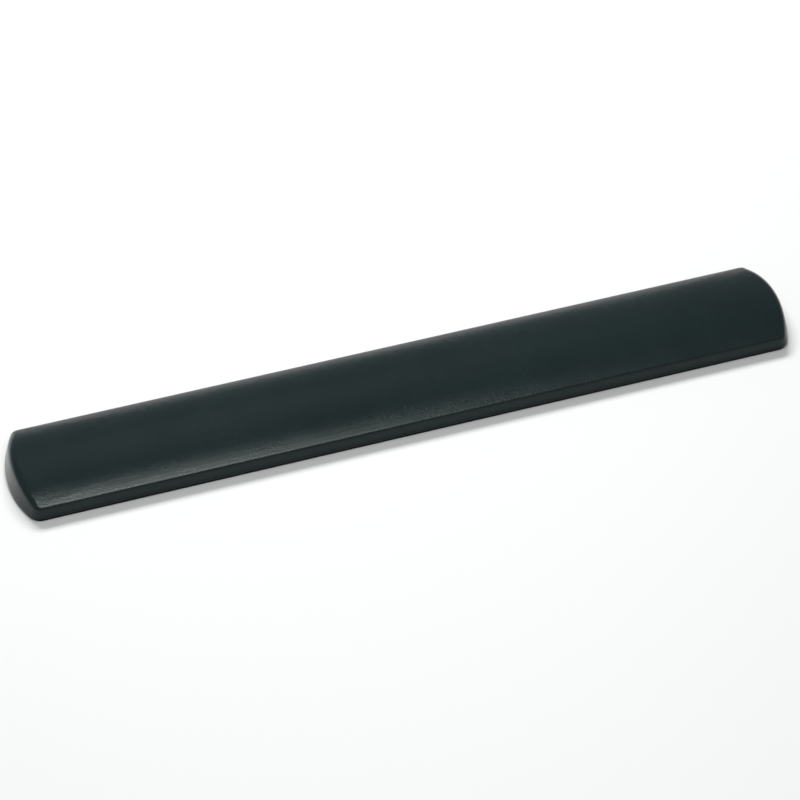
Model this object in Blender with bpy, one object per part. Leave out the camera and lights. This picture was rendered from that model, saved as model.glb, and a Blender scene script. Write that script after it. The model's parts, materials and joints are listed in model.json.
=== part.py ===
"""Keyboard wrist rest: a gel pouch on a stiff plate, wrapped in a leatherette cover, on a non-slip mat.

Run it with: blender --background --python part.py

Metres, +Z up. +X runs along the rest, +Y points away from the user, towards the keyboard, and the
origin is on the desk at the middle of the footprint. The rest is symmetric front to back and end to end.

How the shape is made: the plan outline has two straight long sides, four round corners and two bowed
ends. It is cut into columns, each an upright slice that faces straight out of the outline. In each
column the wall leans inwards, a ball of the edge radius rolls between the wall and the crown, and the
crown is one arc across the depth. Each layer under the cover is the same shape, set in by a distance.
"""

import math
from dataclasses import dataclass

import bmesh
import bpy
from mathutils import Vector

MM = 0.001

# Overall size, over the widest part of the cover's lower edge and up to the middle of the crown
LENGTH = 482.6 * MM
DEPTH = 68.0 * MM
HEIGHT = 18.0 * MM

# Shape of the padded top
END_BOW = 9.5 * MM  # how far an end's arc stands out at the middle of the depth
CORNER_RADIUS = 7.4 * MM
SHOULDER_HEIGHT = 9.6 * MM  # where the crown's arc would meet the outline of a long side
EDGE_RADIUS = 2.5 * MM  # rounding between the long walls and the crown
END_EDGE_RADIUS = 5.3 * MM  # rounding between the ends and the crown
SIDE_LEAN = math.radians(7.5)
END_LEAN = math.radians(15.5)

# Thicknesses, from the desk upwards
MAT_THICKNESS = 0.7 * MM
ADHESIVE_THICKNESS = 0.2 * MM
COVER_THICKNESS = 0.8 * MM
PLATE_THICKNESS = 1.8 * MM  # over the hem; the panel inside the hem is thicker
FILM_THICKNESS = 0.3 * MM

# How the layers sit inside each other
HEM_WIDTH = 7.0 * MM  # the cover's edge, turned in under the plate
HEM_BEND_RADIUS = 1.0 * MM  # outside of the turn
MAT_MARGIN = 0.9 * MM
ADHESIVE_MARGIN = 3.0 * MM
GAP = 0.3 * MM  # between any two pieces that touch

# How finely round stretches are cut
BOW_STEPS = 16
CORNER_STEPS = 5
EDGE_STEPS = 10
EDGE_CROWDING = 3.0  # how much closer the cuts lie on the edge rounding than on the wall below it
BEND_STEPS = 3
SMOOTH_ANGLE = math.radians(40.0)

# A corner keeps this much radius on the crown, however far the edge rounding reaches in
LEAST_CORNER = 0.3 * MM

# Heights that follow from the stack
ADHESIVE_BOTTOM = MAT_THICKNESS + GAP
HEM_BOTTOM = ADHESIVE_BOTTOM + ADHESIVE_THICKNESS + GAP
RIM_BOTTOM = HEM_BOTTOM + COVER_THICKNESS + GAP
PLATE_TOP = RIM_BOTTOM + PLATE_THICKNESS
LOWER_FILM_BOTTOM = PLATE_TOP + GAP
POUCH_BOTTOM = LOWER_FILM_BOTTOM + FILM_THICKNESS + GAP

# Depths below the cover's outer face
LINER_DEPTH = COVER_THICKNESS + GAP
GEL_DEPTH = LINER_DEPTH + FILM_THICKNESS + GAP

CROWN_RISE = HEIGHT - SHOULDER_HEIGHT
CROWN_RADIUS = ((DEPTH / 2) ** 2 + CROWN_RISE**2) / (2 * CROWN_RISE)
BOW_RADIUS = ((DEPTH / 2) ** 2 + END_BOW**2) / (2 * END_BOW)


def crown_height(y):
    """Height of the crown's arc at a distance y from the middle."""
    return HEIGHT - CROWN_RADIUS + math.sqrt(CROWN_RADIUS**2 - y**2)


def most_edge_radius():
    """The widest edge rounding whose ball still turns inside the corners."""
    lean = max(SIDE_LEAN, END_LEAN)
    wall_height = crown_height(DEPTH / 2 - CORNER_RADIUS) - HEM_BOTTOM - HEM_BEND_RADIUS
    room = (CORNER_RADIUS - LEAST_CORNER) * math.cos(lean) - wall_height * math.sin(lean)
    return room / (1 - math.sin(lean))


def slerp(start, end, share):
    """The direction a share of the way from one unit vector to another."""
    angle = start.angle(end)
    if angle < 1e-6:
        return start.copy()
    return (start * math.sin((1 - share) * angle) + end * math.sin(share * angle)) / math.sin(angle)


@dataclass
class Column:
    """One upright slice: a place on the outline, the way it faces, and how its wall leans."""

    place: Vector
    facing: Vector
    lean: float

    def wall_normal(self):
        """The way the leaning wall faces."""
        return Vector((*(self.facing * math.cos(self.lean)), math.sin(self.lean)))

    def edge_radius(self):
        """The edge rounding here: tight along the sides and wider round the ends."""
        side = min(EDGE_RADIUS, most_edge_radius())
        end = min(END_EDGE_RADIUS, most_edge_radius())
        return side + (end - side) * self.facing.x**2

    def foot(self):
        """Height at which the wall meets the outline, so that the hem's bend just reaches the outline."""
        return HEM_BOTTOM + HEM_BEND_RADIUS * (1 + math.tan(self.lean / 2))

    def ball(self, depth, height):
        """The point at this height that lies this deep behind the wall."""
        above_foot = height - self.foot()
        inset = (depth + above_foot * math.sin(self.lean)) / math.cos(self.lean)
        return Vector((*(self.place - self.facing * inset), height))

    def edge_ball(self):
        """Centre of the ball that touches both the wall and the crown."""
        radius = self.edge_radius()
        height = SHOULDER_HEIGHT
        for _ in range(20):
            y = self.ball(radius, height).y
            height = HEIGHT - CROWN_RADIUS + math.sqrt((CROWN_RADIUS - radius) ** 2 - y**2)
        return self.ball(radius, height)

    def upper_profile(self, bottom, depth):
        """Points from a height on the wall up to the crown, on a surface this deep under the cover."""
        centre = self.edge_ball()
        radius = self.edge_radius() - depth
        wall = self.wall_normal()
        middle_of_crown = Vector((centre.x, 0.0, HEIGHT - CROWN_RADIUS))
        crown = (centre - middle_of_crown).normalized()
        first = 0.0
        if centre.z + radius * wall.z < bottom:
            first = (math.asin((bottom - centre.z) / radius) - self.lean) / wall.angle(crown)
        wall_end = centre + radius * slerp(wall, crown, first)
        wall_length = max(wall_end.z - bottom, 0.0) / math.cos(self.lean)
        arc_length = EDGE_CROWDING * radius * wall.angle(crown) * (1 - first)
        points = []
        for step in range(EDGE_STEPS + 1):
            travel = (wall_length + arc_length) * step / EDGE_STEPS
            if travel < wall_length:
                height = bottom + travel * math.cos(self.lean)
                points.append(self.ball(depth, height))
            else:
                share = first + (1 - first) * (travel - wall_length) / arc_length
                points.append(centre + radius * slerp(wall, crown, share))
        return points

    def hem_profile(self, depth):
        """Points of the turn from the hem's underside up to the wall, this deep under the cover."""
        centre = self.ball(HEM_BEND_RADIUS, HEM_BOTTOM + HEM_BEND_RADIUS)
        radius = HEM_BEND_RADIUS - depth
        down = Vector((0.0, 0.0, -1.0))
        turn = [slerp(down, self.wall_normal(), step / BEND_STEPS) for step in range(BEND_STEPS + 1)]
        return [centre + radius * direction for direction in turn]


def outline(inset=0.0):
    """Columns round the plan, counter-clockwise from the front right corner, on an outline set in."""
    corner = max(CORNER_RADIUS - inset, LEAST_CORNER)
    corner_y = DEPTH / 2 - inset - corner
    core_radius = BOW_RADIUS - inset - corner
    bow_angle = math.asin(corner_y / core_radius)
    bow_centre = LENGTH / 2 - BOW_RADIUS
    corner_x = bow_centre + core_radius * math.cos(bow_angle)

    def stretch(start, end, steps):
        return [start + (end - start) * step / steps for step in range(steps)]

    quarter = math.pi / 2
    angles = stretch(-quarter, -bow_angle, CORNER_STEPS)
    angles += stretch(-bow_angle, bow_angle, BOW_STEPS)
    angles += stretch(bow_angle, quarter, CORNER_STEPS) + [quarter]
    right = []
    for angle in angles:
        facing = Vector((math.cos(angle), math.sin(angle)))
        if abs(angle) > bow_angle:
            core = Vector((corner_x, math.copysign(corner_y, angle)))
        else:
            core = Vector((bow_centre, 0.0)) + core_radius * facing
        lean = SIDE_LEAN + (END_LEAN - SIDE_LEAN) * facing.x**2
        right.append(Column(core + corner * facing, facing, lean))
    mirror = Vector((-1.0, 1.0))
    left = [Column(c.place * mirror, c.facing * mirror, c.lean) for c in reversed(right)]
    return right + left


def flat_ring(inset, height):
    """The plan outline, set in, at one height."""
    return [Vector((*column.place, height)) for column in outline(inset)]


def wall_ring(depth, height):
    """The outline of the leaning wall at one height, this deep under the cover's outer face."""
    return [column.ball(depth, height) for column in outline()]


def upper_rings(bottom, depth):
    """Rings from a height on the wall up to the edge of the crown."""
    return list(zip(*(column.upper_profile(bottom, depth) for column in outline())))


def hem_rings(depth):
    """Rings round the turn of the hem."""
    return list(zip(*(column.hem_profile(depth) for column in outline())))


def add_wall(mesh, rings):
    """Joins each ring to the next one up with faces that point out of the outline."""
    loops = [[mesh.verts.new(point) for point in ring] for ring in rings]
    for lower, upper in zip(loops, loops[1:]):
        for this in range(len(lower)):
            following = (this + 1) % len(lower)
            mesh.faces.new((lower[this], lower[following], upper[following], upper[this]))
    return loops[0], loops[-1]


def add_cap(mesh, loop, faces_up):
    """Closes a ring with strips along the rest, and one small face in each corner."""
    count = len(loop) // 2
    right, left = loop[:count], loop[count:][::-1]
    last = count - 1
    levels = [0, *range(CORNER_STEPS, last - CORNER_STEPS + 1), last]
    faces = []
    for here, there in zip(levels, levels[1:]):
        faces.append((right[here], right[there], left[there], left[here]))
        if there - here > 1:
            faces.append(tuple(right[here : there + 1]))
            faces.append(tuple(reversed(left[here : there + 1])))
    for face in faces:
        mesh.faces.new(face if faces_up else face[::-1])


def join_rings(mesh, inner, outer):
    """Joins two loops of the same count, with faces that point down when outer lies outside inner."""
    for this in range(len(inner)):
        following = (this + 1) % len(inner)
        mesh.faces.new((inner[this], inner[following], outer[following], outer[this]))


def finish_piece(name, mesh, colour, roughness, root):
    """Makes a named object of the mesh, with its origin at its lowest point and its own material."""
    base = min(vertex.co.z for vertex in mesh.verts)
    bmesh.ops.translate(mesh, verts=mesh.verts, vec=(0.0, 0.0, -base))
    data = bpy.data.meshes.new(name)
    mesh.to_mesh(data)
    mesh.free()
    data.shade_smooth()
    data.set_sharp_from_angle(angle=SMOOTH_ANGLE)
    material = bpy.data.materials.new(name)
    material.use_nodes = True
    shader = material.node_tree.nodes["Principled BSDF"]
    shader.inputs["Base Color"].default_value = (*colour, 1.0)
    shader.inputs["Roughness"].default_value = roughness
    shader.inputs["Metallic"].default_value = 0.0
    data.materials.append(material)
    piece = bpy.data.objects.new(name, data)
    piece.location.z = base
    piece.parent = root
    bpy.context.scene.collection.objects.link(piece)


def slab(lower, upper):
    """A solid between two rings, closed by strips below and above."""
    mesh = bmesh.new()
    bottom, top = add_wall(mesh, [lower, upper])
    add_cap(mesh, bottom, faces_up=False)
    add_cap(mesh, top, faces_up=True)
    return mesh


def add_shell(mesh, outer_rings, inner_rings):
    """A wall with thickness that is open below: an outer skin, an inner skin and the rim between them."""
    outer_rim, outer_top = add_wall(mesh, outer_rings)
    add_cap(mesh, outer_top, faces_up=True)
    skin = set(mesh.faces)
    inner_rim, inner_top = add_wall(mesh, inner_rings)
    add_cap(mesh, inner_top, faces_up=True)
    bmesh.ops.reverse_faces(mesh, faces=[face for face in mesh.faces if face not in skin])
    join_rings(mesh, inner_rim, outer_rim)


def make_cover(root):
    """The leatherette: crown, rounded edge, leaning wall, and a hem turned in under the plate."""
    mesh = bmesh.new()
    skins = []
    for depth in (0.0, COVER_THICKNESS):
        hem_edge = flat_ring(HEM_WIDTH, HEM_BOTTOM + depth)
        turn = hem_rings(depth)
        top_of_turn = turn[-1][0].z
        skins.append([hem_edge, *turn, *upper_rings(top_of_turn, depth)[1:]])
    add_shell(mesh, *skins)
    finish_piece("leatherette_cover", mesh, (0.022, 0.03, 0.031), 0.45, root)


def make_pouch_top(root):
    """The upper film of the gel pouch, moulded to the inside of the cover."""
    mesh = bmesh.new()
    outer = upper_rings(POUCH_BOTTOM, LINER_DEPTH)
    inner = upper_rings(POUCH_BOTTOM, LINER_DEPTH + FILM_THICKNESS)
    add_shell(mesh, outer, inner)
    finish_piece("gel_pouch_upper_film", mesh, (0.55, 0.57, 0.58), 0.25, root)


def make_gel(root):
    """The gel that fills the pouch."""
    mesh = bmesh.new()
    bottom, top = add_wall(mesh, upper_rings(POUCH_BOTTOM, GEL_DEPTH))
    add_cap(mesh, bottom, faces_up=False)
    add_cap(mesh, top, faces_up=True)
    finish_piece("gel_core", mesh, (0.35, 0.5, 0.6), 0.15, root)


def make_pouch_bottom(root):
    """The lower film, which closes the pouch on the plate."""
    lower = wall_ring(LINER_DEPTH, LOWER_FILM_BOTTOM)
    upper = wall_ring(LINER_DEPTH, LOWER_FILM_BOTTOM + FILM_THICKNESS)
    finish_piece("gel_pouch_lower_film", slab(lower, upper), (0.55, 0.57, 0.58), 0.25, root)


def make_plate(root):
    """The stiff plate: a rim that the hem is turned under, and a panel flush with the hem's underside."""
    panel_inset = HEM_WIDTH + GAP
    mesh = bmesh.new()
    panel_bottom, panel_top = add_wall(
        mesh, [flat_ring(panel_inset, HEM_BOTTOM), flat_ring(panel_inset, RIM_BOTTOM)]
    )
    rim_bottom, rim_top = add_wall(
        mesh, [wall_ring(LINER_DEPTH, RIM_BOTTOM), wall_ring(LINER_DEPTH, PLATE_TOP)]
    )
    add_cap(mesh, panel_bottom, faces_up=False)
    join_rings(mesh, panel_top, rim_bottom)
    add_cap(mesh, rim_top, faces_up=True)
    finish_piece("base_plate", mesh, (0.03, 0.03, 0.032), 0.5, root)


def make_adhesive(root):
    """The double-sided sheet that holds the mat to the hem and the plate."""
    lower = flat_ring(ADHESIVE_MARGIN, ADHESIVE_BOTTOM)
    upper = flat_ring(ADHESIVE_MARGIN, ADHESIVE_BOTTOM + ADHESIVE_THICKNESS)
    finish_piece("mat_adhesive_sheet", slab(lower, upper), (0.7, 0.68, 0.6), 0.4, root)


def make_mat(root):
    """The non-slip mat that the rest stands on."""
    lower = flat_ring(MAT_MARGIN, 0.0)
    upper = flat_ring(MAT_MARGIN, MAT_THICKNESS)
    finish_piece("non_slip_mat", slab(lower, upper), (0.008, 0.008, 0.009), 0.85, root)


def main():
    for old in list(bpy.context.scene.objects):
        bpy.data.objects.remove(old, do_unlink=True)
    root = bpy.data.objects.new("wrist_rest", None)
    bpy.context.scene.collection.objects.link(root)
    make_mat(root)
    make_adhesive(root)
    make_plate(root)
    make_pouch_bottom(root)
    make_gel(root)
    make_pouch_top(root)
    make_cover(root)


main()
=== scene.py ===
"""Keyboard wrist rest: a leatherette cover drawn over a gel pouch and a plate, on a non-slip mat.

Metres, +Z up. +X runs along the rest and -Y faces the user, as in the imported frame. The cover, the gel
and the mat are modelled here, from the boxes of their CAD nodes. The pouch's films, the plate and the
adhesive keep their CAD shape and get their finishes here.
"""

import json
import logging
import math
from collections.abc import Callable, Iterator, Sequence
from contextlib import contextmanager
from dataclasses import dataclass, field
from enum import Enum

import bmesh
import bpy
from mathutils import Matrix, Vector

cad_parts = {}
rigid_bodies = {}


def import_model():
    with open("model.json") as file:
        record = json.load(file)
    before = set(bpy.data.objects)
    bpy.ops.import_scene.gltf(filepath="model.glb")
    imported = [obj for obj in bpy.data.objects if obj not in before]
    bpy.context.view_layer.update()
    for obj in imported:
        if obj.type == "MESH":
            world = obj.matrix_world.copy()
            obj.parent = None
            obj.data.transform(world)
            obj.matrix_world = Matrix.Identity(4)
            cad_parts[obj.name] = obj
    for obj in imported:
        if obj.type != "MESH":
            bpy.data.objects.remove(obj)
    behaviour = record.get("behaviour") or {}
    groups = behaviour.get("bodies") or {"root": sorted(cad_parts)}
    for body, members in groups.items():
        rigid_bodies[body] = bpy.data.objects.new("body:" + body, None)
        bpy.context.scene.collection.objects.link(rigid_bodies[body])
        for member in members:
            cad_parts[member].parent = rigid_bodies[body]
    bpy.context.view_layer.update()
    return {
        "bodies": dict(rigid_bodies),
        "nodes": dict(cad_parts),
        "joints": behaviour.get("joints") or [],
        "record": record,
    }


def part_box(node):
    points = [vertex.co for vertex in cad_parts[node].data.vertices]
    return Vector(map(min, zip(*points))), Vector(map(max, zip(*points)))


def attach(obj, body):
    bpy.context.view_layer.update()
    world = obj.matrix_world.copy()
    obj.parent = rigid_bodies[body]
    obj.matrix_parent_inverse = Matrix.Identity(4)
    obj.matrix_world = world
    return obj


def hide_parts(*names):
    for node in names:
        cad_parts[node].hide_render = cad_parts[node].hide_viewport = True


LOG = logging.getLogger("wrist_rest")

MM = 0.001
BODY = "root"

Colour = tuple[float, float, float]
KEY_TINT: Colour = (0.94, 1.0, 0.985)
Test = Callable[[object], bool]


class Slot(Enum):
    """The record's material slots, named on the padded pieces."""

    LEATHERETTE = "leatherette"
    GEL = "gel"
    MAT_RUBBER = "mat_rubber"


class Layer(Enum):
    """The CAD nodes, from the top of the rest down."""

    COVER = "leatherette_cover"
    UPPER_FILM = "gel_pouch_upper_film"
    GEL = "gel_core"
    LOWER_FILM = "gel_pouch_lower_film"
    PLATE = "base_plate"
    ADHESIVE = "mat_adhesive_sheet"
    MAT = "non_slip_mat"


class Pick(Enum):
    """What an edit selects, with the switches of Blender's vertex, edge and face modes."""

    VERTS = (True, False, False)
    EDGES = (False, True, False)
    FACES = (False, False, True)


# ---------------------------------------------------------------------------------------------------
# Hand tools: selecting, editing, applying
# ---------------------------------------------------------------------------------------------------


def make_active(piece: bpy.types.Object) -> None:
    """Selects one object alone and makes it the active one.

    Args:
        piece: the object to work on.
    """
    for other in list(bpy.context.selected_objects):
        other.select_set(False)
    piece.select_set(True)
    bpy.context.view_layer.objects.active = piece


@contextmanager
def editing(piece: bpy.types.Object, pick: Pick) -> Iterator[None]:
    """Edit mode on one object, with nothing selected to begin with.

    Args:
        piece: the object to edit.
        pick: the kind of element that is selected.
    """
    make_active(piece)
    bpy.ops.object.mode_set(mode="EDIT")
    bpy.context.tool_settings.mesh_select_mode = pick.value
    bpy.ops.mesh.select_all(action="DESELECT")
    try:
        yield
    finally:
        bpy.ops.object.mode_set(mode="OBJECT")


def select_where(piece: bpy.types.Object, pick: Pick, test: Test) -> int:
    """Selects, in edit mode, the elements that pass a test, and nothing else.

    Args:
        piece: the object in edit mode.
        pick: the kind of element to look at.
        test: says whether one bmesh element is wanted.

    Returns:
        How many elements were selected.
    """
    bpy.ops.mesh.select_all(action="DESELECT")
    mesh = bmesh.from_edit_mesh(piece.data)
    mesh.normal_update()
    elements = {Pick.VERTS: mesh.verts, Pick.EDGES: mesh.edges, Pick.FACES: mesh.faces}[pick]
    wanted = [element for element in elements if test(element)]
    for element in wanted:
        element.select_set(True)
    mesh.select_flush_mode()
    bmesh.update_edit_mesh(piece.data)
    return len(wanted)


def apply_modifier(piece: bpy.types.Object, modifier: bpy.types.Modifier) -> None:
    """Applies a modifier to a piece's mesh.

    Args:
        piece: the object that holds it.
        modifier: the modifier.
    """
    make_active(piece)
    bpy.ops.object.modifier_apply(modifier=modifier.name)


def add_block(name: str, low: Vector, high: Vector) -> bpy.types.Object:
    """A cube primitive that fills a box, with its place and size in its mesh.

    Args:
        name: the object's name.
        low: the box's lowest corner.
        high: the box's highest corner.

    Returns:
        The new object.
    """
    bpy.ops.mesh.primitive_cube_add(size=1.0, location=(low + high) / 2, scale=high - low)
    block = bpy.context.active_object
    make_active(block)
    bpy.ops.object.transform_apply(location=True, rotation=True, scale=True)
    block.name = name
    block.data.name = name
    return block


def smooth_faces(piece: bpy.types.Object, angle: float) -> None:
    """Shades a piece smooth up to an angle between its faces.

    Args:
        piece: the object.
        angle: the sharpest angle that still shades smooth, in degrees.
    """
    make_active(piece)
    bpy.ops.object.shade_smooth_by_angle(angle=math.radians(angle))


def hand_over(piece: bpy.types.Object, layer: Layer) -> None:
    """Puts a finished piece in its CAD node's place, on the rest's one body.

    Args:
        piece: the finished piece.
        layer: the CAD node that it stands for.
    """
    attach(piece, BODY)
    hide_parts(layer.value)
    LOG.info("%s: %d faces, for %s", piece.name, len(piece.data.polygons), layer.value)


# ---------------------------------------------------------------------------------------------------
# Shader building
# ---------------------------------------------------------------------------------------------------


class Net:
    """A node tree in the making: adds nodes, sets their sockets and links them."""

    def __init__(self, tree: bpy.types.NodeTree) -> None:
        """Starts on a tree."""
        self.tree = tree

    def node(self, kind: str, **settings: object) -> bpy.types.Node:
        """Adds a node.

        Args:
            kind: the node's type.
            settings: properties to set on it.

        Returns:
            The node.
        """
        made = self.tree.nodes.new(kind)
        for name, value in settings.items():
            setattr(made, name, value)
        return made

    def feed(self, socket: bpy.types.NodeSocket, value: object) -> None:
        """Links an output to a socket, or sets a plain value on it.

        Args:
            socket: the input socket.
            value: an output socket, a number, a vector or a colour.
        """
        if isinstance(value, bpy.types.NodeSocket):
            self.tree.links.new(value, socket)
        else:
            socket.default_value = value

    def math(self, operation: str, first: object, second: object = 0.0) -> bpy.types.NodeSocket:
        """A Math node.

        Args:
            operation: its operation.
            first: its first value.
            second: its second value.

        Returns:
            Its result.
        """
        made = self.node("ShaderNodeMath", operation=operation)
        self.feed(made.inputs[0], first)
        self.feed(made.inputs[1], second)
        return made.outputs[0]

    def vector(self, operation: str, first: object, second: object) -> bpy.types.NodeSocket:
        """A Vector Math node that puts out a vector.

        Args:
            operation: its operation.
            first: its first vector.
            second: its second vector, or the factor when it scales.

        Returns:
            Its result.
        """
        made = self.node("ShaderNodeVectorMath", operation=operation)
        self.feed(made.inputs[0], first)
        self.feed(made.inputs["Scale"] if operation == "SCALE" else made.inputs[1], second)
        return made.outputs["Vector"]

    def spread(self, value: object, source: Sequence[float], target: Sequence[float]) -> bpy.types.NodeSocket:
        """Maps a range of numbers onto another, smoothly, and holds it at both ends.

        Args:
            value: the number.
            source: the range it is read in, low and high.
            target: the range it is put out in.

        Returns:
            The mapped number.
        """
        made = self.node("ShaderNodeMapRange", interpolation_type="SMOOTHSTEP")
        self.feed(made.inputs["Value"], value)
        for name, number in zip(("From Min", "From Max", "To Min", "To Max"), (*source, *target)):
            made.inputs[name].default_value = number
        return made.outputs["Result"]

    def blend(self, share: object, first: object, second: object) -> bpy.types.NodeSocket:
        """Mixes two colours.

        Args:
            share: how much of the second.
            first: the first colour, a socket or a colour of three numbers.
            second: the second colour, likewise.

        Returns:
            The mixed colour.
        """
        made = self.node("ShaderNodeMix", data_type="RGBA")
        self.feed(made.inputs["Factor"], share)
        for socket, colour in zip((made.inputs[6], made.inputs[7]), (first, second)):
            self.feed(socket, (*colour, 1.0) if isinstance(colour, tuple) else colour)
        return made.outputs[2]

    def noise(self, vector: object, scale: object, detail: float, roughness: float) -> bpy.types.NodeSocket:
        """A noise texture.

        Args:
            vector: where it is read.
            scale: how many features a metre holds.
            detail: its octaves.
            roughness: how strong the finer octaves are.

        Returns:
            Its value, about 0 to 1.
        """
        made = self.node("ShaderNodeTexNoise")
        self.feed(made.inputs["Vector"], vector)
        self.feed(made.inputs["Scale"], scale)
        made.inputs["Detail"].default_value = detail
        made.inputs["Roughness"].default_value = roughness
        return made.outputs[0]

    def bump(
        self, height: object, distance: float, strength: float, normal: object = None
    ) -> bpy.types.NodeSocket:
        """A Bump node.

        Args:
            height: the height to read.
            distance: how far a height of 1 stands out, in metres.
            strength: how much of it shows.
            normal: a normal to start from, or None.

        Returns:
            The bent normal.
        """
        made = self.node("ShaderNodeBump")
        made.inputs["Distance"].default_value = distance
        made.inputs["Strength"].default_value = strength
        self.feed(made.inputs["Height"], height)
        if normal is not None:
            self.feed(made.inputs["Normal"], normal)
        return made.outputs["Normal"]


@dataclass(frozen=True)
class Port:
    """One named socket of a shader group."""

    name: str
    kind: str = "NodeSocketFloat"


VECTOR_IN = Port("Vector", "NodeSocketVector")
NORMAL_IN = Port("Normal", "NodeSocketVector")


class Effect:
    """A shader group with named sockets, built once and placed in each material with its own values."""

    name = ""
    takes: tuple[Port, ...] = ()
    gives: tuple[Port, ...] = ()

    def wire(self, net: Net, start: object, end: object) -> None:
        """Builds the inside of the group.

        Args:
            net: the group's tree.
            start: the group's inputs, as sockets to read.
            end: the group's outputs, as sockets to feed.
        """
        raise NotImplementedError

    def tree(self) -> bpy.types.NodeTree:
        """Builds the group, or finds it if it is already there.

        Returns:
            The group's tree.
        """
        found = bpy.data.node_groups.get(self.name)
        if found is not None:
            return found
        tree = bpy.data.node_groups.new(self.name, "ShaderNodeTree")
        for port in self.takes:
            tree.interface.new_socket(name=port.name, in_out="INPUT", socket_type=port.kind)
        for port in self.gives:
            tree.interface.new_socket(name=port.name, in_out="OUTPUT", socket_type=port.kind)
        net = Net(tree)
        self.wire(net, net.node("NodeGroupInput").outputs, net.node("NodeGroupOutput").inputs)
        return tree

    def place(self, net: Net, values: dict[str, object]) -> object:
        """Puts the group in a material.

        Args:
            net: the material's tree.
            values: what feeds each of its inputs.

        Returns:
            The group's outputs.
        """
        made = net.node("ShaderNodeGroup", node_tree=self.tree())
        for name, value in values.items():
            net.feed(made.inputs[name], value)
        return made.outputs


class PebbleGrain(Effect):
    """Small rounded pebbles with valleys between them, as rolled into leatherette and moulded rubber."""

    name = "Pebble grain"
    takes = (VECTOR_IN, Port("Pebbles per metre"), Port("Wander"))
    gives = (Port("Height"), Port("Valley"), Port("Tone"))

    def wire(self, net: Net, start: object, end: object) -> None:
        """Cells of a Voronoi pattern on wandering coordinates, with a finer crease in each."""
        cells = net.vector("SCALE", start["Vector"], start["Pebbles per metre"])
        drift = net.node("ShaderNodeTexNoise")
        net.feed(drift.inputs["Vector"], cells)
        drift.inputs["Scale"].default_value = 0.7
        drift.inputs["Detail"].default_value = 1.0
        centred = net.vector("SUBTRACT", drift.outputs["Color"], (0.5, 0.5, 0.5))
        place = net.vector("ADD", cells, net.vector("SCALE", centred, start["Wander"]))
        edges = net.node("ShaderNodeTexVoronoi", feature="DISTANCE_TO_EDGE")
        net.feed(edges.inputs["Vector"], place)
        edges.inputs["Scale"].default_value = 1.0
        centres = net.node("ShaderNodeTexVoronoi", feature="F1")
        net.feed(centres.inputs["Vector"], place)
        centres.inputs["Scale"].default_value = 1.0
        dome = net.spread(edges.outputs["Distance"], (0.0, 0.30), (0.0, 1.0))
        tone = net.node("ShaderNodeSeparateColor")
        net.feed(tone.inputs[0], centres.outputs["Color"])
        fine = net.noise(place, 3.1, 3.0, 0.6)
        lift = net.math("MULTIPLY", net.math("SUBTRACT", tone.outputs[0], 0.5), 0.5)
        height = net.math("ADD", dome, net.math("MULTIPLY", fine, 0.35))
        net.feed(end["Height"], net.math("ADD", height, lift))
        net.feed(end["Valley"], net.math("SUBTRACT", 1.0, dome))
        net.feed(end["Tone"], tone.outputs[1])


class Mottle(Effect):
    """Slow, cloudy variation over a surface."""

    name = "Mottle"
    takes = (VECTOR_IN, Port("Clouds per metre"))
    gives = (Port("Share"),)

    def wire(self, net: Net, start: object, end: object) -> None:
        """Two noises, one four times finer, stretched to the full range."""
        broad = net.noise(start["Vector"], start["Clouds per metre"], 2.0, 0.5)
        finer = net.noise(start["Vector"], net.math("MULTIPLY", start["Clouds per metre"], 4.0), 3.0, 0.55)
        both = net.math("ADD", net.math("MULTIPLY", broad, 0.65), net.math("MULTIPLY", finer, 0.35))
        net.feed(end["Share"], net.spread(both, (0.35, 0.65), (0.0, 1.0)))


class Dust(Effect):
    """A little fine dust that has settled on what faces up."""

    name = "Dust"
    takes = (VECTOR_IN, NORMAL_IN, Port("Amount"))
    gives = (Port("Share"),)

    def wire(self, net: Net, start: object, end: object) -> None:
        """Specks of noise, more of them the more the surface faces up."""
        facing = net.node("ShaderNodeSeparateXYZ")
        net.feed(facing.inputs[0], start["Normal"])
        flat = net.spread(facing.outputs["Z"], (0.3, 1.0), (0.0, 1.0))
        specks = net.spread(net.noise(start["Vector"], 900.0, 2.0, 0.7), (0.62, 0.78), (0.0, 1.0))
        haze = net.noise(start["Vector"], 60.0, 3.0, 0.6)
        share = net.math("MULTIPLY", net.math("ADD", specks, net.math("MULTIPLY", haze, 0.4)), flat)
        net.feed(end["Share"], net.math("MULTIPLY", share, start["Amount"]))


class RubbedRidge(Effect):
    """Polish and light wear where a surface turns over an edge."""

    name = "Rubbed ridge"
    takes = (VECTOR_IN, NORMAL_IN, Port("Amount"))
    gives = (Port("Share"),)

    def wire(self, net: Net, start: object, end: object) -> None:
        """A band where the surface turns from top to side, broken up by noise."""
        facing = net.node("ShaderNodeSeparateXYZ")
        net.feed(facing.inputs[0], start["Normal"])
        over = net.spread(facing.outputs["Z"], (0.45, 0.75), (0.0, 1.0))
        under = net.spread(facing.outputs["Z"], (0.80, 0.96), (1.0, 0.0))
        patches = net.spread(net.noise(start["Vector"], 45.0, 4.0, 0.6), (0.35, 0.7), (0.3, 1.0))
        band = net.math("MULTIPLY", net.math("MULTIPLY", over, under), patches)
        net.feed(end["Share"], net.math("MULTIPLY", band, start["Amount"]))


GRAIN = PebbleGrain()
MOTTLE = Mottle()
DUST = Dust()
RUBBED = RubbedRidge()


# ---------------------------------------------------------------------------------------------------
# Finishes
# ---------------------------------------------------------------------------------------------------


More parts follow.
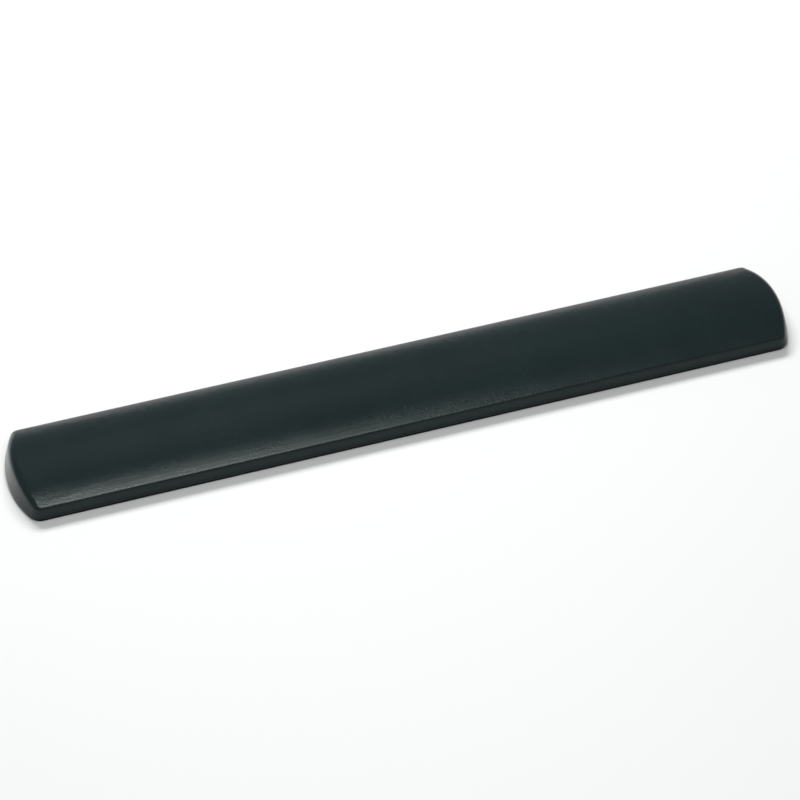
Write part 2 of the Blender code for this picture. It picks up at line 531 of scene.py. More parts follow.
@dataclass(frozen=True)
class Finish:
    """A procedural material: what it is called, and the numbers that are the same all over it."""

    name: str
    colour: Colour
    second_colour: Colour
    roughness: float
    specular: float = 0.5

    def material(self) -> bpy.types.Material:
        """Builds the material, or finds it if it is already there.

        Returns:
            The material.
        """
        found = bpy.data.materials.get(self.name)
        if found is not None:
            return found
        material = bpy.data.materials.new(self.name)
        material.use_nodes = True
        net = Net(material.node_tree)
        material.node_tree.nodes.clear()
        shader = net.node("ShaderNodeBsdfPrincipled")
        output = net.node("ShaderNodeOutputMaterial")
        net.feed(output.inputs["Surface"], shader.outputs[0])
        shader.inputs["Specular IOR Level"].default_value = self.specular
        places = net.node("ShaderNodeTexCoord")
        self.paint(net, shader.inputs, places.outputs["Object"], places.outputs["Normal"])
        return material

    def paint(self, net: Net, shader: object, place: object, normal: object) -> None:
        """Builds the nodes that feed the shader.

        Args:
            net: the material's tree.
            shader: the shader's inputs.
            place: the point on the piece, in object coordinates.
            normal: the way the surface faces.
        """
        raise NotImplementedError

    def dress(self, piece: bpy.types.Object) -> None:
        """Gives a piece this finish in all of its slots, or in a new one.

        Args:
            piece: the piece.
        """
        if not piece.material_slots:
            piece.data.materials.append(self.material())
        for held in piece.material_slots:
            held.material = self.material()


@dataclass(frozen=True)
class Leatherette(Finish):
    """Soft polyurethane skin with a rolled pebble grain, polished a little where wrists rub it."""

    pebbles: float = 800.0
    depth: float = 0.10 * MM
    grain_strength: float = 0.28
    rubbed_colour: Colour = (0.020, 0.030, 0.031)
    dust_colour: Colour = (0.30, 0.31, 0.30)

    def paint(self, net: Net, shader: object, place: object, normal: object) -> None:
        """Grain, cloudy colour, painted shade that darkens the valleys, rubbed ridges and a trace of dust."""
        grain = GRAIN.place(net, {"Vector": place, "Pebbles per metre": self.pebbles, "Wander": 0.9})
        clouds = MOTTLE.place(net, {"Vector": place, "Clouds per metre": 22.0})["Share"]
        rubbed = RUBBED.place(net, {"Vector": place, "Normal": normal, "Amount": 0.5})["Share"]
        dust = DUST.place(net, {"Vector": place, "Normal": normal, "Amount": 0.012})["Share"]
        skin = net.blend(clouds, self.colour, self.second_colour)
        toned = net.blend(net.math("MULTIPLY", grain["Tone"], 0.35), skin, self.second_colour)
        # Painted shade: the grain's valleys are darkened towards black, standing in for the shade that falls
        # in them.
        valley_shaded = net.blend(net.math("MULTIPLY", grain["Valley"], 0.45), toned, (0.001, 0.002, 0.002))
        worn = net.blend(net.math("MULTIPLY", rubbed, 0.35), valley_shaded, self.rubbed_colour)
        net.feed(shader["Base Color"], net.blend(dust, worn, self.dust_colour))
        rough = net.math("ADD", net.math("MULTIPLY", grain["Valley"], 0.12), self.roughness)
        rough = net.math("ADD", rough, net.math("MULTIPLY", clouds, 0.03))
        net.feed(shader["Roughness"], net.math("SUBTRACT", rough, net.math("MULTIPLY", rubbed, 0.04)))
        creases = net.noise(place, 420.0, 4.0, 0.6)
        stretched = net.bump(creases, 0.05 * MM, 0.2)
        net.feed(shader["Normal"], net.bump(grain["Height"], self.depth, self.grain_strength, stretched))


@dataclass(frozen=True)
class MatRubber(Finish):
    """Soft black rubber with a dry, finely pitted skin."""

    def paint(self, net: Net, shader: object, place: object, normal: object) -> None:
        """Fine pits, cloudy bloom and dust held in the pits."""
        grain = GRAIN.place(net, {"Vector": place, "Pebbles per metre": 2600.0, "Wander": 1.4})
        clouds = MOTTLE.place(net, {"Vector": place, "Clouds per metre": 35.0})["Share"]
        worn = RUBBED.place(net, {"Vector": place, "Normal": normal, "Amount": 1.0})["Share"]
        bloom = net.blend(clouds, self.colour, self.second_colour)
        pitted = net.blend(net.math("MULTIPLY", grain["Valley"], 0.25), bloom, (0.05, 0.05, 0.048))
        net.feed(shader["Base Color"], net.blend(net.math("MULTIPLY", worn, 0.2), pitted, (0.03, 0.03, 0.03)))
        net.feed(shader["Roughness"], net.math("ADD", net.math("MULTIPLY", clouds, 0.1), self.roughness))
        net.feed(shader["Normal"], net.bump(grain["Height"], 0.05 * MM, 0.5))


@dataclass(frozen=True)
class PlatePlastic(Finish):
    """Moulded black polystyrene with a spark-eroded surface and faint flow marks."""

    def paint(self, net: Net, shader: object, place: object, normal: object) -> None:
        """Fine eroded texture, flow marks that run along the plate, scuffs on the edges."""
        drawn_out = net.node("ShaderNodeMapping", vector_type="POINT")
        net.feed(drawn_out.inputs["Vector"], place)
        drawn_out.inputs["Scale"].default_value = (0.15, 1.0, 1.0)
        flow = MOTTLE.place(net, {"Vector": drawn_out.outputs[0], "Clouds per metre": 60.0})["Share"]
        scuffs = RUBBED.place(net, {"Vector": place, "Normal": normal, "Amount": 0.8})["Share"]
        base = net.blend(flow, self.colour, self.second_colour)
        net.feed(shader["Base Color"], net.blend(net.math("MULTIPLY", scuffs, 0.3), base, (0.06, 0.06, 0.06)))
        net.feed(shader["Roughness"], net.math("ADD", net.math("MULTIPLY", flow, 0.08), self.roughness))
        net.feed(shader["Normal"], net.bump(net.noise(place, 3800.0, 2.0, 0.6), 0.03 * MM, 0.4))


@dataclass(frozen=True)
class ClearGel(Finish):
    """Soft clear gel with small bubbles in it."""

    def paint(self, net: Net, shader: object, place: object, normal: object) -> None:
        """A faint cloudiness and scattered bubbles."""
        clouds = MOTTLE.place(net, {"Vector": place, "Clouds per metre": 30.0})["Share"]
        bubbles = net.node("ShaderNodeTexVoronoi", feature="F1")
        net.feed(bubbles.inputs["Vector"], place)
        bubbles.inputs["Scale"].default_value = 180.0
        ring = net.spread(bubbles.outputs["Distance"], (0.10, 0.16), (1.0, 0.0))
        body = net.blend(clouds, self.colour, self.second_colour)
        net.feed(shader["Base Color"], net.blend(net.math("MULTIPLY", ring, 0.5), body, (0.9, 0.95, 0.96)))
        net.feed(shader["Roughness"], net.math("ADD", net.math("MULTIPLY", clouds, 0.08), self.roughness))
        net.feed(shader["Normal"], net.bump(ring, 0.1 * MM, 0.3))
        shader["Transmission Weight"].default_value = 0.8
        shader["IOR"].default_value = 1.41


@dataclass(frozen=True)
class PouchFilm(Finish):
    """Thin milky film, drawn slightly into waves over the gel."""

    def paint(self, net: Net, shader: object, place: object, normal: object) -> None:
        """Milky patches and shallow draw lines."""
        clouds = MOTTLE.place(net, {"Vector": place, "Clouds per metre": 45.0})["Share"]
        drawn_out = net.node("ShaderNodeMapping", vector_type="POINT")
        net.feed(drawn_out.inputs["Vector"], place)
        drawn_out.inputs["Scale"].default_value = (1.0, 0.2, 0.2)
        lines = net.noise(drawn_out.outputs[0], 260.0, 3.0, 0.6)
        net.feed(shader["Base Color"], net.blend(clouds, self.colour, self.second_colour))
        net.feed(shader["Roughness"], net.math("ADD", net.math("MULTIPLY", lines, 0.15), self.roughness))
        net.feed(shader["Normal"], net.bump(lines, 0.08 * MM, 0.5))
        shader["Transmission Weight"].default_value = 0.6
        shader["IOR"].default_value = 1.5


@dataclass(frozen=True)
class AdhesiveTape(Finish):
    """Double-sided tape: a fibre carrier in a tacky, slightly yellow layer."""

    def paint(self, net: Net, shader: object, place: object, normal: object) -> None:
        """Fibres along the tape and uneven tack."""
        drawn_out = net.node("ShaderNodeMapping", vector_type="POINT")
        net.feed(drawn_out.inputs["Vector"], place)
        drawn_out.inputs["Scale"].default_value = (0.08, 1.0, 1.0)
        fibres = net.noise(drawn_out.outputs[0], 1500.0, 4.0, 0.65)
        clouds = MOTTLE.place(net, {"Vector": place, "Clouds per metre": 50.0})["Share"]
        base = net.blend(clouds, self.colour, self.second_colour)
        strand = net.spread(fibres, (0.5, 0.7), (0.0, 0.5))
        net.feed(shader["Base Color"], net.blend(strand, base, (0.85, 0.84, 0.78)))
        net.feed(shader["Roughness"], net.math("ADD", net.math("MULTIPLY", fibres, 0.2), self.roughness))
        net.feed(shader["Normal"], net.bump(fibres, 0.03 * MM, 0.4))


LEATHERETTE = Leatherette("Leatherette", (0.0030, 0.0140, 0.0150), (0.0045, 0.0175, 0.0185), 0.125, 0.5)
MAT_RUBBER = MatRubber("Mat rubber", (0.008, 0.008, 0.009), (0.014, 0.014, 0.014), 0.75, 0.3)
PLATE_PLASTIC = PlatePlastic("Plate plastic", (0.012, 0.012, 0.013), (0.018, 0.018, 0.018), 0.45)
CLEAR_GEL = ClearGel("Clear gel", (0.55, 0.72, 0.76), (0.66, 0.80, 0.83), 0.12)
POUCH_FILM = PouchFilm("Pouch film", (0.78, 0.80, 0.80), (0.88, 0.89, 0.88), 0.25)
ADHESIVE_TAPE = AdhesiveTape("Adhesive tape", (0.62, 0.58, 0.44), (0.70, 0.66, 0.52), 0.4)


# ---------------------------------------------------------------------------------------------------
# Padded pieces: a finely cut block that is drawn onto the skin of its CAD solid
# ---------------------------------------------------------------------------------------------------


@dataclass(frozen=True)
class Grading:
    """How closely one direction of a block is cut: fine in a band at each end, coarse between."""

    fine: float
    coarse: float
    band: float

    def places(self, low: float, high: float) -> list[float]:
        """Where the cuts go.

        Args:
            low: the block's lower end.
            high: the block's upper end.

        Returns:
            The cuts' places, lowest first.
        """
        band = min(self.band, (high - low) / 2)
        near_steps = max(1, round(band / self.fine))
        near = [low + band * step / near_steps for step in range(1, near_steps + 1)]
        inner = high - low - 2 * band
        inner_steps = max(1, round(inner / self.coarse))
        middle = [low + band + inner * step / inner_steps for step in range(1, inner_steps)]
        far = [low + high - place for place in reversed(near)]
        if inner < self.fine / 2:
            far = far[1:]
        return near + middle + far


@dataclass
class PaddedForm:
    """A soft form: a block the size of a CAD node, cut finely, drawn onto the node's outer skin."""

    layer: Layer
    slot: Slot
    finish: Finish
    name: str
    fill: float
    cuts: tuple[Grading, Grading, Grading]
    wraps: int = 3
    relax_steps: int = 4

    def skin(self, nodes: dict[str, bpy.types.Object]) -> bpy.types.Object:
        """A merged copy of the outer faces of the CAD node, to draw the block onto.

        Args:
            nodes: the CAD nodes by name.

        Returns:
            A scratch object, to be removed after use.
        """
        skin = bpy.data.objects.new(self.name + "_skin", nodes[self.layer.value].data.copy())
        bpy.context.scene.collection.objects.link(skin)
        low, high = (Vector(corner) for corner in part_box(self.layer.value))
        reach = (high.x - low.x - high.y + low.y) / 2
        height = (low.z + high.z) / 2

        def faces_in(face: bmesh.types.BMFace) -> bool:
            """Whether a face looks towards the line that runs through the middle of the solid."""
            middle = face.calc_center_median()
            core = Vector((max(-reach, min(reach, middle.x)), 0.0, height))
            return (middle - core).dot(face.normal) <= 0.0

        with editing(skin, Pick.FACES):
            bpy.ops.mesh.select_all(action="SELECT")
            bpy.ops.mesh.remove_doubles(threshold=0.001 * MM)
            select_where(skin, Pick.FACES, faces_in)
            bpy.ops.mesh.delete(type="FACE")
        bpy.context.view_layer.update()
        return skin

    def block(self) -> bpy.types.Object:
        """The block, cut across in all three directions.

        Returns:
            The block.
        """
        low, high = (Vector(corner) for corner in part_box(self.layer.value))
        block = add_block(self.name, low, high)
        with editing(block, Pick.FACES):
            for axis, grading in enumerate(self.cuts):
                across = Vector((0.0, 0.0, 0.0))
                across[axis] = 1.0
                for place in grading.places(low[axis], high[axis]):
                    bpy.ops.mesh.select_all(action="SELECT")
                    bpy.ops.mesh.bisect(plane_co=across * place, plane_no=across)
        return block

    def open_floor(self, block: bpy.types.Object, skin: bpy.types.Object) -> None:
        """Takes out the part of the block's floor that the skin leaves open.

        Args:
            block: the cut block, not yet drawn onto the skin.
            skin: the skin.
        """
        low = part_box(self.layer.value)[0][2]

        def over_opening(face: bmesh.types.BMFace) -> bool:
            """Whether a face of the floor has no skin near it."""
            if face.normal.z > -0.9 or face.calc_center_median().z > low + 0.1 * MM:
                return False
            return all(self.clear_of(skin, corner.co) for corner in face.verts)

        with editing(block, Pick.FACES):
            if select_where(block, Pick.FACES, over_opening):
                bpy.ops.mesh.delete(type="FACE")

    @staticmethod
    def clear_of(skin: bpy.types.Object, point: Vector) -> bool:
        """Whether a point on the floor is away from the skin and not outside it."""
        _, nearest, normal, _ = skin.closest_point_on_mesh(point)
        away = point - nearest
        return away.length > 0.4 * MM and away.dot(normal) < 0.5 * away.length

    def draw_on(self, form: bpy.types.Object, skin: bpy.types.Object) -> None:
        """Draws the block onto the skin and evens out its cells, a few times over.

        Args:
            form: the block.
            skin: the skin.
        """
        for turn in range(self.wraps):
            if turn:
                with editing(form, Pick.VERTS):
                    select_where(form, Pick.VERTS, lambda vert: not vert.is_boundary)
                    bpy.ops.mesh.vertices_smooth(factor=0.5, repeat=self.relax_steps)
            wrap = form.modifiers.new("Wrap", "SHRINKWRAP")
            wrap.wrap_method = "NEAREST_SURFACEPOINT"
            wrap.target = skin
            apply_modifier(form, wrap)

    def form(self, nodes: dict[str, bpy.types.Object]) -> bpy.types.Object:
        """The whole form, drawn on and evened out.

        Args:
            nodes: the CAD nodes by name.

        Returns:
            The form.
        """
        skin = self.skin(nodes)
        form = self.block()
        self.open_floor(form, skin)
        self.draw_on(form, skin)
        bpy.data.meshes.remove(skin.data)
        return form


@dataclass
class Inflation:
    """A short cloth simulation that fills a form from inside, held back at its lower edge."""

    pressure: float = 4.0
    frames: int = 20
    stiffness: float = 40.0
    swell: float = 0.08 * MM
    quality: int = 6
    mass: float = 0.3
    bending: float = 2.0
    pinned_below: float = 5.0 * MM
    free_above: float = 8.0 * MM

    def run(self, form: bpy.types.Object) -> None:
        """Simulates and applies it, and scales the moves so that the largest is the swell.

        Args:
            form: the form to fill.
        """
        scene = bpy.context.scene
        before = [(vert.co.copy(), vert.normal.copy()) for vert in form.data.vertices]
        pins = form.vertex_groups.new(name="Pinned")
        for vert in form.data.vertices:
            free = (vert.co.z - self.pinned_below) / (self.free_above - self.pinned_below)
            pins.add([vert.index], 1.0 - min(1.0, max(0.0, free)), "REPLACE")
        cloth = form.modifiers.new("Cloth", "CLOTH")
        cloth.point_cache.frame_start = 1
        cloth.point_cache.frame_end = self.frames
        settings = cloth.settings
        settings.quality = self.quality
        settings.mass = self.mass
        settings.tension_stiffness = self.stiffness
        settings.compression_stiffness = self.stiffness
        settings.shear_stiffness = self.stiffness
        settings.bending_stiffness = self.bending
        settings.use_pressure = True
        settings.uniform_pressure_force = self.pressure
        settings.vertex_group_mass = pins.name
        settings.effector_weights.gravity = 0.0
        for frame in range(1, self.frames + 1):
            scene.frame_set(frame)
        apply_modifier(form, cloth)
        scene.frame_set(1)
        form.vertex_groups.clear()
        moves = [(vert.co - place).dot(normal) for vert, (place, normal) in zip(form.data.vertices, before)]
        largest = max(abs(move) for move in moves)
        share = min(1.0, self.swell / largest)
        for vert, (place, normal), move in zip(form.data.vertices, before, moves):
            vert.co = place + normal * move * share
        LOG.info("filled: the largest move of %.2f mm scaled by %.3f", largest / MM, share)


@dataclass
class CoverSkin(PaddedForm):
    """The leatherette cover: drawn over the pouch, turned under the plate as a hem, open below."""

    thickness: float = 0.8 * MM
    ripple: float = 0.22 * MM
    ripple_size: float = 38.0 * MM
    inflation: Inflation = field(default_factory=Inflation)

    def add_ripple(self, form: bpy.types.Object) -> None:
        """The slight unevenness of gel under the cover.

        Args:
            form: the cover's outer face.
        """
        clouds = bpy.data.textures.new("Gel unevenness", "CLOUDS")
        clouds.noise_scale = self.ripple_size
        clouds.noise_depth = 1
        group = form.vertex_groups.new(name="Top")
        for vert in form.data.vertices:
            group.add([vert.index], min(1.0, max(0.0, (vert.co.z - 9.0 * MM) / (5.0 * MM))), "REPLACE")
        ripple = form.modifiers.new("Ripple", "DISPLACE")
        ripple.texture = clouds
        ripple.texture_coords = "LOCAL"
        ripple.strength = self.ripple
        ripple.vertex_group = group.name
        apply_modifier(form, ripple)
        form.vertex_groups.clear()

    def build(self, nodes: dict[str, bpy.types.Object]) -> bpy.types.Object:
        """Models the cover and puts it in place.

        Args:
            nodes: the CAD nodes by name.

        Returns:
            The cover.
        """
        cover = self.form(nodes)
        self.inflation.run(cover)
        self.add_ripple(cover)
        finer = cover.modifiers.new("Finer", "SUBSURF")
        finer.levels = 1
        finer.render_levels = 1
        apply_modifier(cover, finer)
        wall = cover.modifiers.new("Wall", "SOLIDIFY")
        wall.thickness = self.thickness
        wall.offset = -1.0
        apply_modifier(cover, wall)
        smooth_faces(cover, 50.0)
        self.finish.dress(cover)
        hand_over(cover, self.layer)
        return cover


@dataclass
class GelFilling(PaddedForm):
    """The gel inside the pouch, a solid form."""

    def build(self, nodes: dict[str, bpy.types.Object]) -> bpy.types.Object:
        """Models the gel and puts it in place.

        Args:
            nodes: the CAD nodes by name.

        Returns:
            The gel.
        """
        gel = self.form(nodes)
        smooth_faces(gel, 50.0)
        self.finish.dress(gel)
        hand_over(gel, self.layer)
        return gel


# ---------------------------------------------------------------------------------------------------
# The mat
# ---------------------------------------------------------------------------------------------------


@dataclass(frozen=True)
class Outline:
    """A plan outline with two straight long sides, four round corners and two bowed ends."""

    length: float
    depth: float
    bow_radius: float
    corner: float

    @property
    def bow_centre(self) -> float:
        """How far from the middle the centre of an end's arc lies."""
        return self.length / 2 - self.bow_radius

    @property
    def corner_centre(self) -> Vector:
        """The centre of the corner's arc in the first quarter."""
        across = self.depth / 2 - self.corner
        along = self.bow_centre + math.sqrt((self.bow_radius - self.corner) ** 2 - across**2)
        return Vector((along, across))

    @property
    def bow_half_angle(self) -> float:
        """Half the angle that an end's arc turns through."""
        return math.asin(self.corner_centre.y / (self.bow_radius - self.corner))

    def inside(self, place: Vector, margin: float) -> bool:
        """Whether a place in plan is inside the outline by a margin.

        Args:
            place: the place.
            margin: the least distance to the outline.

        Returns:
            Whether it is.
        """
        x, y = abs(place.x), abs(place.y)
        corner = self.corner_centre
        if y > self.depth / 2 - margin:
            return False
        if x > corner.x and y > corner.y:
            return (Vector((x, y)) - corner).length < self.corner - margin
        return Vector((x - self.bow_centre, y)).length < self.bow_radius - margin or x < corner.x

    def trace(self, name: str, height: float, bow_steps: int, corner_steps: int) -> bpy.types.Object:
        """A flat face with this outline, looking up.

        Args:
            name: the object's name.
            height: the height it lies at.
            bow_steps: how many straight steps an end's arc has.
            corner_steps: how many steps a corner's arc has.

        Returns:
            The new object.
        """
        corner = self.corner_centre
        bpy.ops.mesh.primitive_plane_add(size=1.0, location=(0.0, 0.0, height))
        face = bpy.context.active_object
        make_active(face)
        face.scale = (2 * corner.x, self.depth, 1.0)
        bpy.ops.object.transform_apply(location=True, rotation=True, scale=True)
        face.name = name
        face.data.name = name
        with editing(face, Pick.EDGES):
            select_where(face, Pick.EDGES, lambda edge: abs(edge.verts[0].co.x - edge.verts[1].co.x) < MM)
            bpy.ops.mesh.delete(type="EDGE")
        turn = math.pi / 2 - self.bow_half_angle
        arcs = (
            (-corner.y, corner.x, turn, corner_steps),
            (0.0, self.bow_centre, 2 * self.bow_half_angle, bow_steps),
            (corner.y, corner.x, turn, corner_steps),
        )
        with editing(face, Pick.VERTS):
            for side in (1.0, -1.0):
                select_where(face, Pick.VERTS, lambda vert: side * vert.co.x > 0 and side * vert.co.y < 0)
                for across, along, angle, steps in arcs:
                    bpy.ops.mesh.spin(
                        steps=steps,
                        angle=-angle,
                        center=(side * along, side * across, height),
                        axis=(0.0, 0.0, 1.0),
                    )
            bpy.ops.mesh.select_all(action="SELECT")
            bpy.ops.mesh.remove_doubles(threshold=0.01 * MM)
            bpy.ops.mesh.select_all(action="SELECT")
            bpy.ops.mesh.edge_face_add()
            bpy.ops.mesh.select_all(action="SELECT")
            bpy.ops.mesh.normals_make_consistent(inside=False)
        return face


@dataclass
class GripMat:
    """The non-slip mat: a thin rubber sheet with rows of small studs moulded on its underside."""

    name: str = "grip_mat"
    end_bow: float = 9.5 * MM
    corner: float = 7.4 * MM
    margin: float = 0.9 * MM
    web: float = 0.45 * MM
    edge_round: float = 0.12 * MM
    pitch: float = 4.0 * MM
    stud: float = 2.3 * MM
    stud_margin: float = 2.4 * MM
    finish: Finish = MAT_RUBBER

    def outline(self, low: Vector, high: Vector) -> Outline:
        """The mat's outline, set in from the cover's.

        Args:
            low: the lowest corner of the mat's box.
            high: its highest corner.

        Returns:
            The outline.
        """
        half_depth = (high.y - low.y) / 2 + self.margin
        bow_radius = (half_depth**2 + self.end_bow**2) / (2 * self.end_bow)
        return Outline(
            high.x - low.x,
            high.y - low.y,
            bow_radius - self.margin,
            self.corner - self.margin,
        )

    def sheet(self, outline: Outline, bottom: float, top: float) -> bpy.types.Object:
        """The sheet itself, with its rims rounded.

        Args:
            outline: the mat's outline.
            bottom: the height of its underside.
            top: the height of its upper side.

        Returns:
            The sheet.
        """
        sheet = outline.trace(self.name, bottom, 24, 8)
        with editing(sheet, Pick.FACES):
            bpy.ops.mesh.select_all(action="SELECT")
            bpy.ops.mesh.extrude_region_move(
                TRANSFORM_OT_translate={"value": (0.0, 0.0, top - bottom)}
            )
            bpy.ops.mesh.select_all(action="SELECT")
            bpy.ops.mesh.normals_make_consistent(inside=False)
        with editing(sheet, Pick.EDGES):
            select_where(sheet, Pick.EDGES, lambda edge: abs(edge.verts[0].co.z - edge.verts[1].co.z) < 1e-6)
            bpy.ops.mesh.bevel(offset=self.edge_round, segments=2, affect="EDGES")
        return sheet

    def studs(self, outline: Outline, low: Vector, high: Vector) -> bpy.types.Object:
        """All the studs, in staggered rows, less those that the outline cuts.

        Args:
            outline: the mat's outline.
            low: the lowest corner of the mat's box.
            high: its highest corner.

        Returns:
            The studs, as one object.
        """
        half = Vector((self.stud / 2, self.stud / 2, 0.0))
        top = low.z + high.z - low.z - self.web + 0.1 * MM
        start = Vector((low.x + self.pitch / 2, low.y + self.pitch / 2, low.z))
        made = []
        for shift in (0.0, self.pitch / 2):
            centre = start + Vector((shift, shift, 0.0))
            stud = add_block("stud", centre - half, centre + half + Vector((0.0, 0.0, top - low.z)))
            with editing(stud, Pick.FACES):
                select_where(stud, Pick.FACES, lambda face: face.normal.z < -0.9)
                bpy.ops.transform.resize(value=(0.8, 0.8, 1.0), center_override=centre)
            with editing(stud, Pick.EDGES):
                select_where(
                    stud,
                    Pick.EDGES,
                    lambda edge: abs(edge.verts[0].co.z - edge.verts[1].co.z) > 0.1 * MM,
                )
                bpy.ops.mesh.bevel(offset=0.35 * MM, segments=2, affect="EDGES")
            for axis, length in ((0, high.x - low.x), (1, high.y - low.y)):
                row = stud.modifiers.new("Row", "ARRAY")
                row.use_relative_offset = False
                row.use_constant_offset = True
                row.constant_offset_displace = [self.pitch if axis == side else 0.0 for side in range(3)]
                row.count = int((length - shift) / self.pitch)
                apply_modifier(stud, row)
            made.append(stud)
        make_active(made[0])
        made[1].select_set(True)
        bpy.ops.object.join()
        studs = made[0]
        with editing(studs, Pick.VERTS):
            select_where(studs, Pick.VERTS, lambda vert: not outline.inside(vert.co, self.stud_margin))
            bpy.ops.mesh.select_linked()
            bpy.ops.mesh.delete(type="VERT")
        return studs

    def build(self) -> bpy.types.Object:
        """Models the mat and puts it in place.

        Returns:
            The mat.
        """
        low, high = (Vector(corner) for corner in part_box(Layer.MAT.value))
        outline = self.outline(low, high)
        mat = self.sheet(outline, high.z - self.web, high.z)
        studs = self.studs(outline, low, high)
        make_active(mat)
        studs.select_set(True)
        bpy.ops.object.join()
        smooth_faces(mat, 40.0)
        self.finish.dress(mat)
        hand_over(mat, Layer.MAT)
        return mat


# ---------------------------------------------------------------------------------------------------
# The layers that keep their CAD shape
# ---------------------------------------------------------------------------------------------------


@dataclass
class Laminate:
    """The pouch's two films, the plate and the adhesive, which keep their CAD shape."""

    finishes: dict[Layer, Finish] = field(
        default_factory=lambda: {
            Layer.UPPER_FILM: POUCH_FILM,
            Layer.LOWER_FILM: POUCH_FILM,
            Layer.PLATE: PLATE_PLASTIC,
            Layer.ADHESIVE: ADHESIVE_TAPE,
        }
    )

    def dress(self, nodes: dict[str, bpy.types.Object]) -> None:
        """Gives each layer its finish.

        Args:
            nodes: the CAD nodes by name.
        """
        for layer, finish in self.finishes.items():
            finish.dress(nodes[layer.value])
            LOG.info("%s: finished as %s", layer.value, finish.name)


# ---------------------------------------------------------------------------------------------------
# Studio
# ---------------------------------------------------------------------------------------------------


@dataclass(frozen=True)
class Lamp:
    """A rectangular soft light, aimed at a point."""

    name: str
    place: tuple[float, float, float]
    aim: tuple[float, float, float]
    width: float
    height: float
    radiance: float
    in_reflections: bool = True
    colour: Colour = (1.0, 1.0, 1.0)

    def hang(self) -> bpy.types.Object:
        """Puts the light in the scene.

        Returns:
            The light.
        """
        data = bpy.data.lights.new(self.name, "AREA")
        data.shape = "RECTANGLE"
        data.size = self.width
        data.size_y = self.height
        data.energy = self.radiance * math.pi * self.width * self.height
        data.color = self.colour
        lamp = bpy.data.objects.new(self.name, data)
        bpy.context.scene.collection.objects.link(lamp)
        toward = Vector(self.aim) - Vector(self.place)
        aimed = toward.to_track_quat("-Z", "Y").to_matrix().to_4x4()
        lamp.matrix_world = Matrix.Translation(self.place) @ aimed
        lamp.visible_glossy = self.in_reflections
        lamp.visible_camera = False
        return lamp


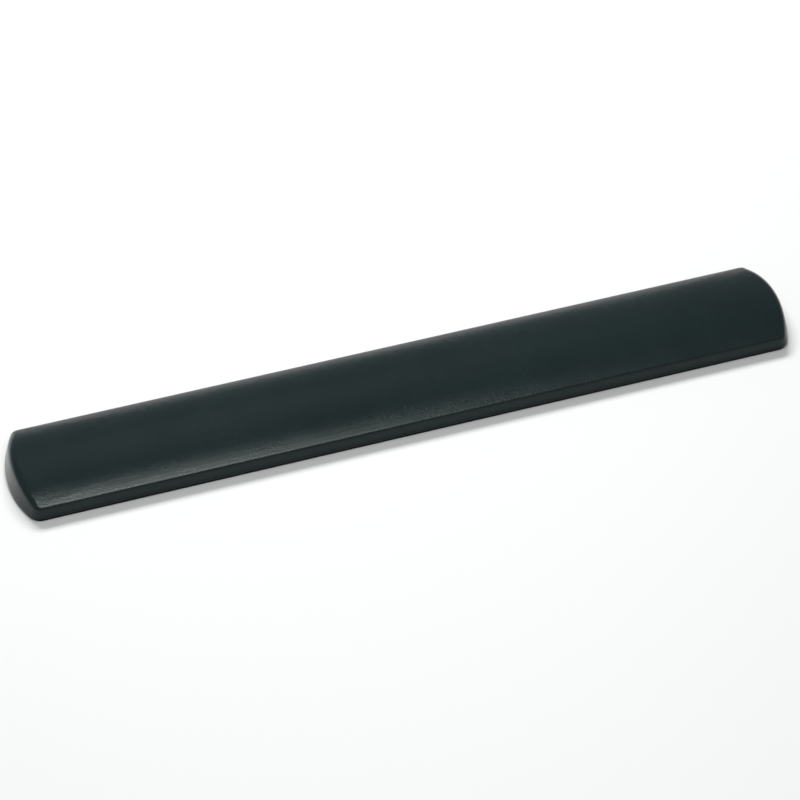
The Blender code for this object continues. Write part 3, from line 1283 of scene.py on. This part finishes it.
@dataclass
class Studio:
    """The floor, the lights, the surroundings and the camera."""

    azimuth: float = -17.81
    elevation: float = 45.55
    distance: float = 1.697
    shift_right: float = -2.86 * MM
    shift_up: float = -2.95 * MM
    focal: float = 128.1
    sensor: float = 36.0
    floor_size: float = 8.0
    floor_colour: Colour = (0.87, 0.87, 0.87)
    floor_in_reflections: float = 0.45
    front_fade: tuple[float, float] = (-0.055, 0.02)
    seen_backdrop: float = 0.95
    soft_light: float = 0.21
    reflected_light: float = 0.30
    lamps: tuple[Lamp, ...] = (
        Lamp("Key", (-0.015, -0.57, 1.125), (-0.015, 0.0, 0.0), 0.57, 0.95, 2.4, True, KEY_TINT),
        Lamp("Key heart", (-0.04, -0.56, 1.105), (-0.04, 0.0, 0.0), 0.20, 0.95, 2.3, True, KEY_TINT),
        Lamp("Back fill", (0.0, 1.05, 1.40), (0.0, 0.0, 0.0), 1.2, 0.45, 16.0, False),
        Lamp("Ceiling", (-0.075, 1.1, 1.6), (-0.075, 0.0, 0.0), 1.25, 1.2, 0.15),
        Lamp("Corner", (-0.34, -0.25, 1.05), (-0.23, 0.0, 0.0), 0.12, 0.12, 22.0),
    )

    def lay_floor(self) -> None:
        """A plain pale floor. Reflections see its front part darker, as if it ended at a table's edge."""
        bpy.ops.mesh.primitive_plane_add(size=self.floor_size, location=(0.0, 0.0, 0.0))
        floor = bpy.context.active_object
        floor.name = "studio_floor"
        material = bpy.data.materials.new("Floor paper")
        material.use_nodes = True
        material.node_tree.nodes.clear()
        net = Net(material.node_tree)
        output = net.node("ShaderNodeOutputMaterial")
        paper = net.node("ShaderNodeBsdfDiffuse")
        paper.inputs["Color"].default_value = (*self.floor_colour, 1.0)
        dim = net.node("ShaderNodeBsdfDiffuse")
        darker = [part * self.floor_in_reflections for part in self.floor_colour]
        dim.inputs["Color"].default_value = (*darker, 1.0)
        place = net.node("ShaderNodeSeparateXYZ")
        net.feed(place.inputs[0], net.node("ShaderNodeTexCoord").outputs["Object"])
        in_front = net.spread(place.outputs["Y"], self.front_fade, (1.0, 0.0))
        path = net.node("ShaderNodeLightPath")
        either = net.node("ShaderNodeMixShader")
        net.feed(either.inputs[0], net.math("MULTIPLY", path.outputs["Is Glossy Ray"], in_front))
        net.feed(either.inputs[1], paper.outputs[0])
        net.feed(either.inputs[2], dim.outputs[0])
        net.feed(output.inputs["Surface"], either.outputs[0])
        floor.data.materials.append(material)

    def surround(self) -> None:
        """Soft light from all round: one strength to light by, one in reflections, one behind the floor."""
        world = bpy.data.worlds.new("Studio")
        world.use_nodes = True
        world.node_tree.nodes.clear()
        net = Net(world.node_tree)
        path = net.node("ShaderNodeLightPath")
        level = net.node("ShaderNodeMix", data_type="FLOAT")
        net.feed(level.inputs["Factor"], path.outputs["Is Glossy Ray"])
        level.inputs[2].default_value = self.soft_light
        level.inputs[3].default_value = self.reflected_light
        seen = net.node("ShaderNodeMix", data_type="FLOAT")
        net.feed(seen.inputs["Factor"], path.outputs["Is Camera Ray"])
        net.feed(seen.inputs[2], level.outputs[0])
        seen.inputs[3].default_value = self.seen_backdrop
        background = net.node("ShaderNodeBackground")
        net.feed(background.inputs["Strength"], seen.outputs[0])
        output = net.node("ShaderNodeOutputWorld")
        net.feed(output.inputs["Surface"], background.outputs[0])
        bpy.context.scene.world = world

    def stand_camera(self) -> None:
        """The camera, to the left of the rest's middle and looking down on it."""
        turn, rise = math.radians(self.azimuth), math.radians(self.elevation)
        back = Vector((math.sin(turn) * math.cos(rise), -math.cos(turn) * math.cos(rise), math.sin(rise)))
        right = Vector((math.cos(turn), math.sin(turn), 0.0))
        up = back.cross(right)
        data = bpy.data.cameras.new("Camera")
        data.sensor_width = self.sensor
        data.lens = self.focal
        data.clip_start = 0.05
        camera = bpy.data.objects.new("Camera", data)
        bpy.context.scene.collection.objects.link(camera)
        place = back * self.distance + right * self.shift_right + up * self.shift_up
        axes = Matrix((right, up, back)).transposed().to_4x4()
        camera.matrix_world = Matrix.Translation(place) @ axes
        bpy.context.scene.camera = camera

    def build(self) -> None:
        """Sets up the whole studio."""
        self.stand_camera()
        self.lay_floor()
        self.surround()
        for lamp in self.lamps:
            lamp.hang()
        bpy.context.scene.view_settings.view_transform = "Standard"
        LOG.info("studio: %d lamps", len(self.lamps))


# ---------------------------------------------------------------------------------------------------
# The whole rest
# ---------------------------------------------------------------------------------------------------


def main() -> None:
    """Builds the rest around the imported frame, then the studio."""
    logging.basicConfig(level=logging.INFO, format="%(name)s: %(message)s")
    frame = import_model()
    nodes = frame["nodes"]
    Studio().build()
    CoverSkin(
        layer=Layer.COVER,
        slot=Slot.LEATHERETTE,
        finish=LEATHERETTE,
        name="padded_cover",
        fill=0.9,
        cuts=(
            Grading(1.3 * MM, 3.6 * MM, 22.0 * MM),
            Grading(1.2 * MM, 2.8 * MM, 10.0 * MM),
            Grading(1.6 * MM, 1.8 * MM, 6.0 * MM),
        ),
    ).build(nodes)
    GelFilling(
        layer=Layer.GEL,
        slot=Slot.GEL,
        finish=CLEAR_GEL,
        name="gel_filling",
        fill=1.0,
        cuts=(
            Grading(2.0 * MM, 6.0 * MM, 20.0 * MM),
            Grading(1.6 * MM, 4.0 * MM, 10.0 * MM),
            Grading(2.0 * MM, 2.5 * MM, 4.0 * MM),
        ),
    ).build(nodes)
    GripMat().build()
    Laminate().dress(nodes)


if __name__ == "__main__":
    main()
